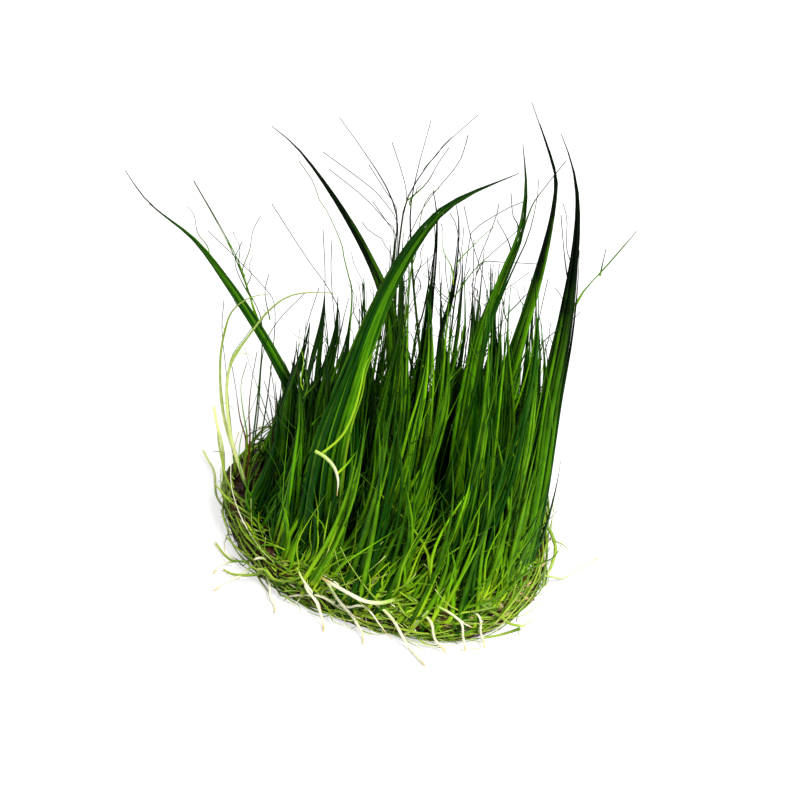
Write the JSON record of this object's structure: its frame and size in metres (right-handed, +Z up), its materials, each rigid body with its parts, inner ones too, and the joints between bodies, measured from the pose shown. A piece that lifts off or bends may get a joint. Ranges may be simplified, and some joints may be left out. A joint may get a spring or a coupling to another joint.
{
  "type": "dwarf hairgrass plug",
  "caption": "Freshly lifted plug of aquarium carpeting grass: wet, needle-fine green leaves in pointed locks on a small dark root mat, with pale runners and white roots.",
  "frame": {"origin": "on the flat underside of the root mat, at the foot of its middle", "axes": "+Z up, the way the grass stands; +X the way the front locks lean; -Y towards a viewer in front"},
  "size_m": [0.0652, 0.0476, 0.0656],
  "materials": {
    "root_mat": "wet, felted soil and root fibres",
    "leaf": "wet green leaf, satin",
    "dark_leaf": "wet, very dark green leaf, satin",
    "lime_leaf": "wet lime green leaf, satin",
    "runner": "pale green stem, satin",
    "root": "white fresh root, satin"
  },
  "bodies": {
    "root": {"root_mat": "root_mat", "arching_lock": "leaf", "left_lock": "dark_leaf", "far_left_blade": "leaf", "thin_left_blade": "lime_leaf", "dark_lock_1": "dark_leaf", "dark_lock_2": "dark_leaf", "right_inner_lock": "leaf", "right_tall_lock": "dark_leaf", "right_edge_lock": "dark_leaf", "right_blade": "lime_leaf", "fine_blade_1": "lime_leaf", "fine_blade_2": "lime_leaf", "fine_blade_3": "lime_leaf", "runner_loop_outer": "runner", "runner_loop_inner": "runner", "runner_left_rim": "runner", "runner_front_white": "runner", "runner_front_right": "runner", "runner_right_curl": "runner", "root_left_back": "root", "root_left_1": "root", "root_left_2": "root", "root_front_1": "root", "root_front_2": "root", "root_front_3": "root", "root_front_4": "root", "root_front_5": "root", "root_front_6": "root", "root_front_7": "root", "root_right": "root", "tuft_01": "leaf", "tuft_02": "leaf", "tuft_03": "leaf", "tuft_04": "leaf", "tuft_05": "leaf", "tuft_06": "leaf", "tuft_07": "leaf", "tuft_08": "leaf", "tuft_09": "leaf", "tuft_10": "leaf", "tuft_11": "leaf", "tuft_12": "leaf", "tuft_13": "leaf", "tuft_14": "leaf", "tuft_15": "leaf", "tuft_16": "leaf", "tuft_17": "leaf", "tuft_18": "leaf", "tuft_19": "leaf", "tuft_20": "leaf", "tuft_21": "leaf", "tuft_22": "leaf", "tuft_23": "leaf", "tuft_24": "leaf", "tuft_25": "leaf", "tuft_26": "leaf", "tuft_27": "leaf", "tuft_28": "leaf", "tuft_29": "leaf"}
  },
  "joints": []
}
